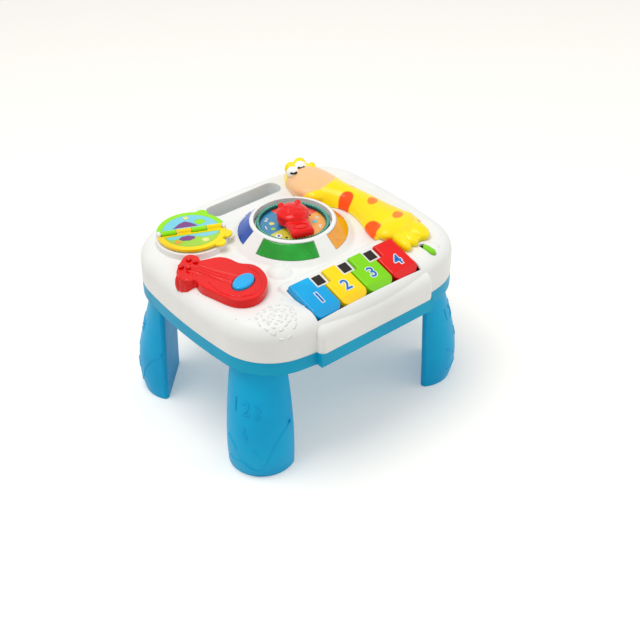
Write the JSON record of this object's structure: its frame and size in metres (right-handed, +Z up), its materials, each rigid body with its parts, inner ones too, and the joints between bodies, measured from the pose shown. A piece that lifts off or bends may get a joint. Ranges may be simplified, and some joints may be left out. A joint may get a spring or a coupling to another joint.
{
  "type": "musical activity table",
  "caption": "Toddler's musical activity table: sloped keyboard, turning dial in a lit console, flip book, guitar push button, lying giraffe, and flared legs.",
  "frame": {"origin": "on the floor, under the middle of the table's outline", "axes": "+X along the keyboard from the left leg to the right leg, +Y from the keyboard to the carry handle, +Z up"},
  "size_m": [0.2456, 0.2126, 0.1785],
  "materials": {
    "white_abs": "semi-gloss moulded ABS",
    "blue_abs": "semi-gloss moulded ABS",
    "teal_abs": "moulded ABS",
    "printed_card": "printed label stock",
    "red_abs": "glossy ABS",
    "grey_nylon": "nylon",
    "clear_red": "tinted translucent",
    "clear_blue": "tinted translucent",
    "clear_green": "tinted translucent",
    "clear_orange": "tinted translucent",
    "yellow_abs": "glossy ABS",
    "green_abs": "glossy ABS",
    "cyan_abs": "glossy ABS",
    "black_abs": "matt black",
    "steel": "plated",
    "board": "fibre board",
    "silicone": "silicone rubber",
    "paper_cone": "black painted",
    "cell_wrap": "wrapped cell",
    "clear_led": "clear epoxy"
  },
  "bodies": {
    "table": {"base_shell": "blue_abs", "battery_cells": "cell_wrap", "battery_contacts": "steel", "battery_door": "blue_abs", "black_key_inlays": "black_abs", "book_base_print": "printed_card", "book_hinge_pin": "steel", "case_screws": "steel", "circuit_board": "board", "dial_card": "printed_card", "door_screw": "steel", "giraffe_body": "yellow_abs", "guitar_body": "red_abs", "guitar_switch": "grey_nylon", "key_board": "board", "key_contact_pads": "silicone", "key_hinge_rod": "steel", "leg_back_left": "blue_abs", "leg_back_right": "blue_abs", "leg_front_left": "blue_abs", "leg_front_right": "blue_abs", "lens_blue": "clear_blue", "lens_green": "clear_green", "lens_orange": "clear_orange", "lens_red": "clear_red", "light_board": "board", "light_leds": "clear_led", "power_switch_body": "grey_nylon", "ratchet_ring": "teal_abs", "sound_chip": "black_abs", "speaker": "paper_cone", "top_shell": "white_abs"},
    "knob": {"dial_knob": "red_abs", "knob_axle": "grey_nylon", "knob_clip": "grey_nylon"},
    "blue_key": {"key_blue": "blue_abs"},
    "yellow_key": {"key_yellow": "yellow_abs"},
    "green_key": {"key_green": "green_abs"},
    "red_key": {"key_red": "red_abs"},
    "guitar_push": {"guitar_button": "cyan_abs"},
    "green_leaf": {"page_green": "green_abs", "page_green_print": "printed_card"},
    "yellow_leaf": {"page_yellow": "yellow_abs", "page_yellow_print": "printed_card"},
    "power_slider": {"power_switch_cap": "green_abs"}
  },
  "joints": [
    {"name": "blue_key_press", "type": "hinge", "parent": "table", "child": "blue_key", "pos_m": [0, -0.05256, 0.14847], "axis": [1, 0, 0], "range_deg": [0, 4], "stiffness_Nm_per_rad": 1.6, "springref_deg": -1.15},
    {"name": "yellow_key_press", "type": "hinge", "parent": "table", "child": "yellow_key", "pos_m": [0, -0.05256, 0.14847], "axis": [1, 0, 0], "range_deg": [0, 4], "stiffness_Nm_per_rad": 1.6, "springref_deg": -1.15},
    {"name": "green_key_press", "type": "hinge", "parent": "table", "child": "green_key", "pos_m": [0, -0.05256, 0.14847], "axis": [1, 0, 0], "range_deg": [0, 4], "stiffness_Nm_per_rad": 1.6, "springref_deg": -1.15},
    {"name": "red_key_press", "type": "hinge", "parent": "table", "child": "red_key", "pos_m": [0, -0.05256, 0.14847], "axis": [1, 0, 0], "range_deg": [0, 4], "stiffness_Nm_per_rad": 1.6, "springref_deg": -1.15},
    {"name": "knob_turn", "type": "hinge", "parent": "table", "child": "knob", "pos_m": [0, 0.006, 0.17], "axis": [0, 0, 1], "continuous": true},
    {"name": "guitar_press", "type": "slide", "parent": "table", "child": "guitar_push", "axis": [0, 0, -1], "range_m": [0, 0.002], "stiffness_N_per_m": 400, "springref_m": -0.001},
    {"name": "green_leaf_turn", "type": "hinge", "parent": "table", "child": "green_leaf", "pos_m": [-0.071, 0.055, 0.16], "axis": [0.9114, -0.4115, 0], "range_deg": [0, 178]},
    {"name": "yellow_leaf_turn", "type": "hinge", "parent": "table", "child": "yellow_leaf", "pos_m": [-0.071, 0.055, 0.16], "axis": [-0.9114, 0.4115, 0], "range_deg": [0, 178]},
    {"name": "power_slide", "type": "slide", "parent": "table", "child": "power_slider", "axis": [0, 1, 0], "range_m": [0, 0.004]}
  ]
}
